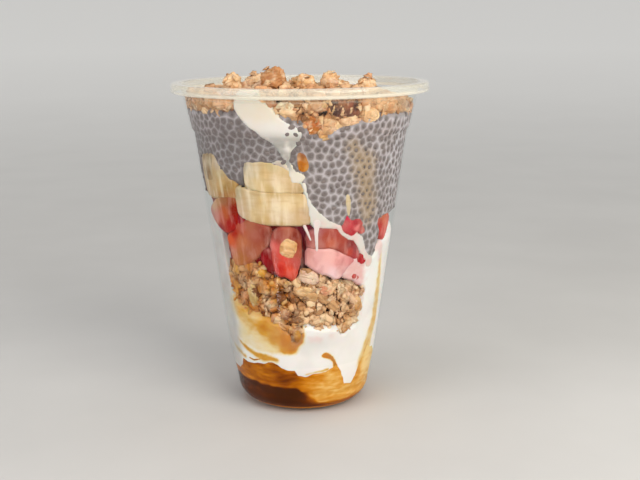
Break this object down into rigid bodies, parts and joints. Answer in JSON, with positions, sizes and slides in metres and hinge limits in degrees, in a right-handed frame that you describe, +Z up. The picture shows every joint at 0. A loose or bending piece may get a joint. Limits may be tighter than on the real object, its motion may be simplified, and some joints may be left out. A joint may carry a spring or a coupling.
{
  "type": "yogurt parfait",
  "caption": "Layered yogurt parfait with honey, granola, strawberries, banana and chia pudding in a clear tapered plastic cup.",
  "frame": {"origin": "centre of the cup's foot, on the surface it stands on", "axes": "+Z up along the cup's axis, -Y towards the side shown in front, +X to that side's right"},
  "size_m": [0.095, 0.095, 0.1271],
  "materials": {
    "clear_plastic": "clear, thin, glossy moulded plastic with a milky rolled rim",
    "honey": "clear amber honey, dark red-brown where it is deep",
    "yogurt": "smooth moist white yogurt",
    "granola": "dry toasted oat flakes and clusters, tan to golden brown",
    "strawberry": "moist cut strawberry, red skin and pale pink flesh",
    "banana": "moist peeled banana, cream yellow with fine lengthways strands",
    "chia_pudding": "pale grey pudding with swollen dark seeds set in clear gel",
    "date": "dark reddish-brown dried fruit",
    "nut": "honeyed toasted nut"
  },
  "bodies": {
    "root": {"cup": "clear_plastic", "honey": "honey", "yogurt": "yogurt", "yogurt_ribbon": "yogurt", "granola_lower": "granola", "granola_top": "granola", "cluster_peak": "granola", "cluster_left": "granola", "cluster_right": "granola", "cluster_far_right": "granola", "cluster_middle": "granola", "cluster_rear_left": "granola", "cluster_rear_right": "granola", "cluster_pale": "granola", "cluster_light": "granola", "cluster_golden": "granola", "strawberry_centre": "strawberry", "strawberry_left": "strawberry", "strawberry_face_left": "strawberry", "strawberry_face_right": "strawberry", "strawberry_salmon": "strawberry", "strawberry_deep": "strawberry", "strawberry_right": "strawberry", "strawberry_rear_right": "strawberry", "strawberry_rear_1": "strawberry", "strawberry_rear_2": "strawberry", "strawberry_rear_3": "strawberry", "strawberry_rear_4": "strawberry", "strawberry_rear_5": "strawberry", "strawberry_rear_left": "strawberry", "strawberry_bit_upper": "strawberry", "strawberry_bit_lower": "strawberry", "banana_lower": "banana", "banana_upper": "banana", "banana_left": "banana", "banana_right": "banana", "banana_rear_flat": "banana", "banana_rear_edge": "banana", "chia_pudding": "chia_pudding", "date_piece": "date", "almond_piece": "nut", "honeyed_nut": "nut"}
  },
  "joints": []
}
